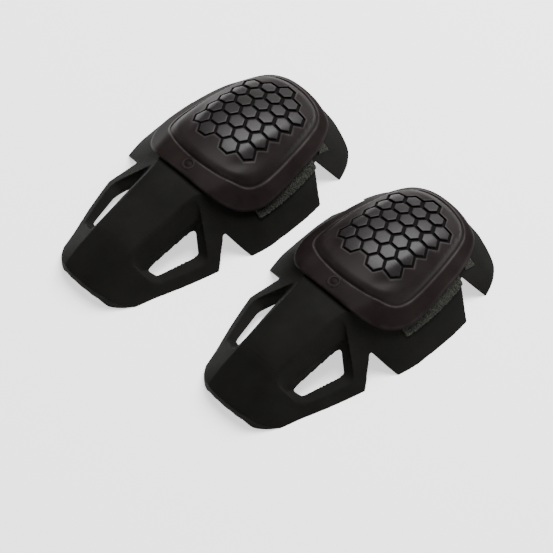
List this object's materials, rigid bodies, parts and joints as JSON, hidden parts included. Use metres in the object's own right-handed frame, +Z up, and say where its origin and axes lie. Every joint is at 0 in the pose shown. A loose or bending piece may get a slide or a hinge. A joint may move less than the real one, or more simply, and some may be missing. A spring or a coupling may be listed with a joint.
{
  "type": "knee guards",
  "caption": "Pair of moulded-foam knee guards with windowed shin plates, notched side flaps and domed rubber caps set with hexagonal grip tiles.",
  "frame": {"origin": "centre of the pair's footprint, on the surface that the rims rest on", "axes": "+Z up through the caps; +Y towards the thigh ends; +X from the left guard to the right guard as seen from the shin ends"},
  "size_m": [0.299, 0.2446, 0.0599],
  "materials": {
    "foam": "matt moulded foam",
    "cap_rubber": "satin rubber",
    "tile": "fine-grained matt rubber",
    "hook": "hook-and-loop pile",
    "core_foam": "open-cell foam",
    "liner": "brushed knit over soft foam"
  },
  "bodies": {
    "left_core": {"left_knee_cup": "foam", "left_cap_shell": "cap_rubber", "left_grip_tiles": "tile", "left_cap_neck": "cap_rubber", "left_dome_core": "core_foam", "left_knee_liner": "liner", "left_inner_hook_strip": "hook", "left_outer_hook_strip": "hook"},
    "left_shin": {"left_shin_plate": "foam"},
    "left_thigh": {"left_thigh_wing": "foam", "left_thigh_strip": "hook"},
    "left_flap_inner": {"left_inner_flap": "foam"},
    "left_flap_outer": {"left_outer_flap": "foam"},
    "right_core": {"right_knee_cup": "foam", "right_cap_shell": "cap_rubber", "right_grip_tiles": "tile", "right_cap_neck": "cap_rubber", "right_dome_core": "core_foam", "right_knee_liner": "liner", "right_inner_hook_strip": "hook", "right_outer_hook_strip": "hook"},
    "right_shin": {"right_shin_plate": "foam"},
    "right_thigh": {"right_thigh_wing": "foam", "right_thigh_strip": "hook"},
    "right_flap_inner": {"right_inner_flap": "foam"},
    "right_flap_outer": {"right_outer_flap": "foam"}
  },
  "joints": [
    {"name": "left_shin_flex", "type": "hinge", "parent": "left_core", "child": "left_shin", "pos_m": [-0.07725, -0.0181, 0.038], "axis": [1, 0, 0], "range_deg": [-4, 12], "stiffness_Nm_per_rad": 1.2},
    {"name": "left_thigh_flex", "type": "hinge", "parent": "left_core", "child": "left_thigh", "pos_m": [-0.07725, 0.0791, 0.031], "axis": [-1, 0, 0], "range_deg": [0, 10], "stiffness_Nm_per_rad": 1.2},
    {"name": "left_inner_flap_flex", "type": "hinge", "parent": "left_core", "child": "left_flap_inner", "pos_m": [-0.02185, 0.0303, 0.0175], "axis": [0, -1, 0], "range_deg": [-5, 8], "stiffness_Nm_per_rad": 0.8},
    {"name": "left_outer_flap_flex", "type": "hinge", "parent": "left_core", "child": "left_flap_outer", "pos_m": [-0.13265, 0.0303, 0.0175], "axis": [0, 1, 0], "range_deg": [-5, 8], "stiffness_Nm_per_rad": 0.8},
    {"name": "pair_lift", "type": "slide", "parent": "left_core", "child": "right_core", "axis": [0, 0, 1], "range_m": [0, 0.08]},
    {"name": "right_shin_flex", "type": "hinge", "parent": "right_core", "child": "right_shin", "pos_m": [0.07725, -0.0181, 0.038], "axis": [1, 0, 0], "range_deg": [-4, 12], "stiffness_Nm_per_rad": 1.2},
    {"name": "right_thigh_flex", "type": "hinge", "parent": "right_core", "child": "right_thigh", "pos_m": [0.07725, 0.0791, 0.031], "axis": [-1, 0, 0], "range_deg": [0, 10], "stiffness_Nm_per_rad": 1.2},
    {"name": "right_outer_flap_flex", "type": "hinge", "parent": "right_core", "child": "right_flap_outer", "pos_m": [0.13265, 0.0303, 0.0175], "axis": [0, -1, 0], "range_deg": [-5, 8], "stiffness_Nm_per_rad": 0.8},
    {"name": "right_inner_flap_flex", "type": "hinge", "parent": "right_core", "child": "right_flap_inner", "pos_m": [0.02185, 0.0303, 0.0175], "axis": [0, 1, 0], "range_deg": [-5, 8], "stiffness_Nm_per_rad": 0.8}
  ]
}
